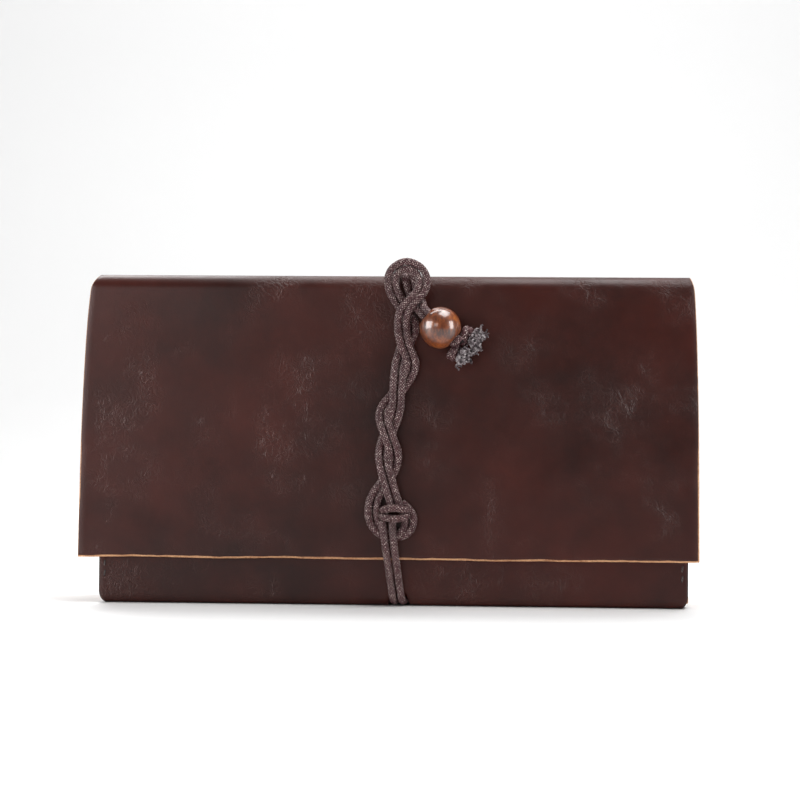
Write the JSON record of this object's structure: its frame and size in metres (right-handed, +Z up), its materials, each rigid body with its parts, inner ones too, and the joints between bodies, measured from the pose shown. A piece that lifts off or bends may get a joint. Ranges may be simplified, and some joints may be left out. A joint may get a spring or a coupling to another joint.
{
  "type": "long wallet",
  "caption": "Long leather wallet on its base: a raw-cut flap over a gusseted pouch with card pockets and a zipped coin pocket, tied by a wrapped twisted cord looped over a wooden bead.",
  "frame": {"origin": "on the ground, under the middle of the leather's bounding box", "axes": "+X along the wallet's length to the right as seen from the flap side, +Y towards the back, +Z up"},
  "size_m": [0.2, 0.0444, 0.112],
  "materials": {
    "body_leather": "semi-gloss oiled leather with dyed edges",
    "flap_leather": "semi-gloss oiled leather with raw tan cut edges",
    "inner_leather": "matt tan pigskin",
    "lining": "plain cotton",
    "board": "leatherboard",
    "zip_tape": "woven polyester tape",
    "zip_metal": "antiqued brass",
    "zip_coil": "nylon coil",
    "thread": "waxed linen thread",
    "bead_wood": "lacquered wood",
    "cord": "waxed braided cotton"
  },
  "bodies": {
    "pouch": {"base_panel": "body_leather", "base_board": "board", "back_panel": "body_leather", "flap_root_strip": "flap_leather", "flap_rear_fold": "flap_leather", "back_lining": "lining", "card_pocket_rear": "inner_leather", "card_pocket_middle": "inner_leather", "card_pocket_front": "inner_leather", "coin_pocket_rear_wall": "inner_leather", "coin_pocket_front_wall": "inner_leather", "coin_pocket_base": "inner_leather", "coin_pocket_left_side": "inner_leather", "coin_pocket_right_side": "inner_leather", "left_gusset": "body_leather", "right_gusset": "body_leather", "zip_tape_rear": "zip_tape", "zip_tape_front": "zip_tape", "zip_teeth_rear": "zip_coil", "zip_teeth_front": "zip_coil", "zip_end_stops": "zip_metal", "cord_keeper": "body_leather", "back_side_stitches": "thread", "flap_root_stitches": "thread", "keeper_stitches": "thread", "card_pocket_stitches": "thread", "back_cord_left": "cord", "back_cord_right": "cord"},
    "front": {"front_panel": "body_leather", "front_lining": "lining", "front_slip_pocket": "inner_leather", "front_side_stitches": "thread"},
    "flap_top": {"flap_top": "flap_leather", "flap_front_fold": "flap_leather", "top_cord_left": "cord", "top_cord_right": "cord"},
    "flap": {"flap_front": "flap_leather", "bead": "bead_wood", "bead_cord_left": "cord", "bead_cord_right": "cord", "end_knot_upper": "cord", "end_knot_lower": "cord"},
    "cord_loop": {"loop_strand_outer": "cord", "loop_strand_inner": "cord", "rising_cord_left": "cord", "rising_cord_right": "cord", "hitch_turn_upper": "cord", "hitch_turn_lower": "cord"},
    "zip_slider": {"zip_slider": "zip_metal"},
    "zip_pull": {"zip_pull": "zip_metal"}
  },
  "joints": [
    {"name": "flap_lift", "type": "hinge", "parent": "pouch", "child": "flap_top", "pos_m": [0, 0.01193, 0.10472], "axis": [-1, 0, 0], "range_deg": [0, 88], "deforming": ["flap_rear_fold", "top_cord_left", "top_cord_right", "back_cord_left", "back_cord_right"]},
    {"name": "flap_unfold", "type": "hinge", "parent": "flap_top", "child": "flap", "pos_m": [0, -0.01175, 0.10472], "axis": [-1, 0, 0], "range_deg": [0, 88], "deforming": ["flap_front_fold", "bead_cord_left", "bead_cord_right"]},
    {"name": "mouth_opening", "type": "hinge", "parent": "pouch", "child": "front", "pos_m": [0, -0.01409, 0.00615], "axis": [1, 0, 0], "range_deg": [0, 10], "deforming": ["left_gusset", "right_gusset"]},
    {"name": "loop_release", "type": "hinge", "parent": "pouch", "child": "cord_loop", "pos_m": [0, -0.01549, 0.0075], "axis": [1, 0, 0], "range_deg": [0, 91], "deforming": ["loop_strand_outer", "loop_strand_inner", "rising_cord_left", "rising_cord_right", "hitch_turn_upper", "hitch_turn_lower"]},
    {"name": "zip_run", "type": "slide", "parent": "pouch", "child": "zip_slider", "axis": [1, 0, 0], "range_m": [0, 0.148]},
    {"name": "pull_swing", "type": "hinge", "parent": "zip_slider", "child": "zip_pull", "pos_m": [-0.074, -0.00089, 0.0857], "axis": [0, -1, 0], "range_deg": [0, 170]}
  ],
  "couplings": [
    {"joint": "flap_unfold", "follows": "flap_lift", "ratio": 1},
    {"joint": "mouth_opening", "follows": "flap_lift", "ratio": 0.11363},
    {"joint": "loop_release", "follows": "flap_lift", "ratio": 1.0341}
  ]
}
